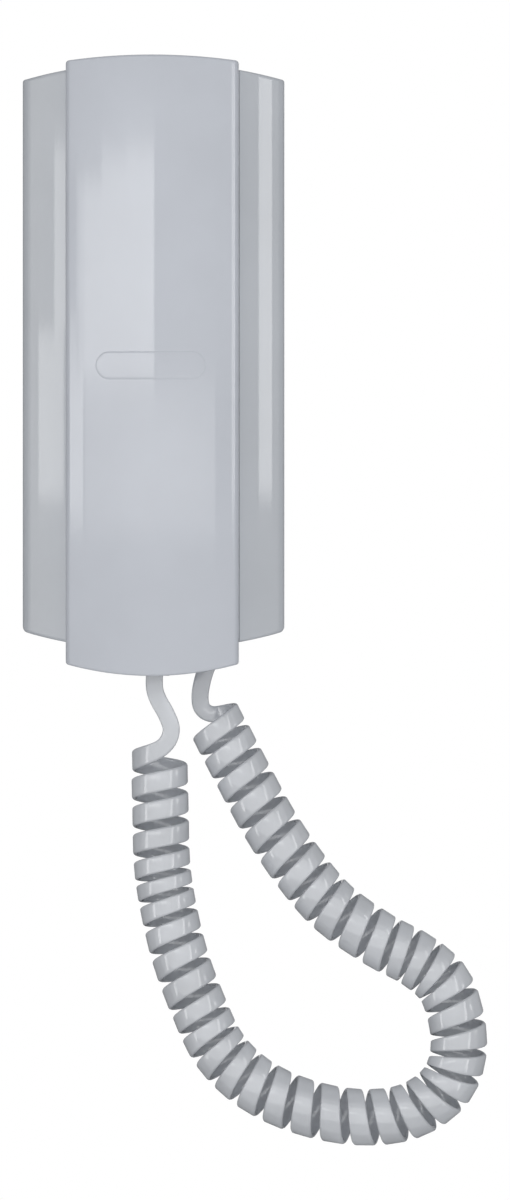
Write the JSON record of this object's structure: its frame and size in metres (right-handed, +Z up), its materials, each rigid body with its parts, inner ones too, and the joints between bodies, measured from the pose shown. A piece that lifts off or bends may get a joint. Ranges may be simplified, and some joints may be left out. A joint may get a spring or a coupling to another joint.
{
  "type": "audio intercom handset",
  "caption": "Wall audio intercom: a convex base with arched ends, a bar handset lying in its channel on a hook lever, a release button behind it and a flat curly cord.",
  "frame": {"origin": "on the wall, midway between the two wall screws", "axes": "+X to the right, +Y into the wall, +Z up; the front faces -Y"},
  "size_m": [0.1544, 0.0461, 0.3624],
  "materials": {
    "base_shell": "glossy light grey",
    "handset_shell": "glossy light grey",
    "flat_cord": "satin light grey",
    "grommet": "matte grey",
    "board": "green solder mask",
    "terminal": "matte green",
    "black_plastic": "matte black",
    "black_rubber": "matte black",
    "steel": "bright zinc"
  },
  "bodies": {
    "base": {"rear_plate": "base_shell", "front_housing": "base_shell", "housing_screw": "steel", "circuit_board": "board", "board_screws": "steel", "terminal_block": "terminal", "terminal_screws": "steel", "hook_switch": "black_plastic", "release_switch": "black_plastic", "ringer": "black_plastic", "audio_transformer": "black_plastic", "capacitors": "black_plastic", "hook_pin": "steel", "hook_spring": "steel", "button_spring": "steel", "base_cord_grommet": "grommet", "curly_cord": "flat_cord"},
    "hook": {"hook_lever": "base_shell"},
    "plunger": {"hook_plunger": "steel"},
    "button": {"release_button": "handset_shell", "release_plunger": "steel"},
    "handset": {"handset_cover": "handset_shell", "handset_back": "handset_shell", "handset_screws": "steel", "ear_capsule": "black_plastic", "ear_gasket": "black_rubber", "microphone": "steel", "microphone_boot": "black_rubber", "handset_cord_grommet": "grommet"}
  },
  "joints": [
    {"name": "handset_lift", "type": "slide", "parent": "base", "child": "handset", "axis": [0, -0.9063, 0.4226], "range_m": [0, 0.06], "deforming": ["curly_cord"]},
    {"name": "hook_pivot", "type": "hinge", "parent": "base", "child": "hook", "pos_m": [0, -0.014, 0.006], "axis": [1, 0, 0], "range_deg": [0, 12], "deforming": ["hook_spring"]},
    {"name": "plunger_slide", "type": "slide", "parent": "base", "child": "plunger", "axis": [0, -1, 0], "range_m": [0, 0.0012]},
    {"name": "release_press", "type": "slide", "parent": "base", "child": "button", "axis": [0, 1, 0], "range_m": [0, 0.0018], "stiffness_N_per_m": 400, "springref_m": -0.002, "deforming": ["button_spring"]}
  ],
  "couplings": [
    {"joint": "hook_pivot", "follows": "handset_lift", "rad_per_m": 3.49},
    {"joint": "plunger_slide", "follows": "handset_lift", "ratio": 0.0199}
  ]
}
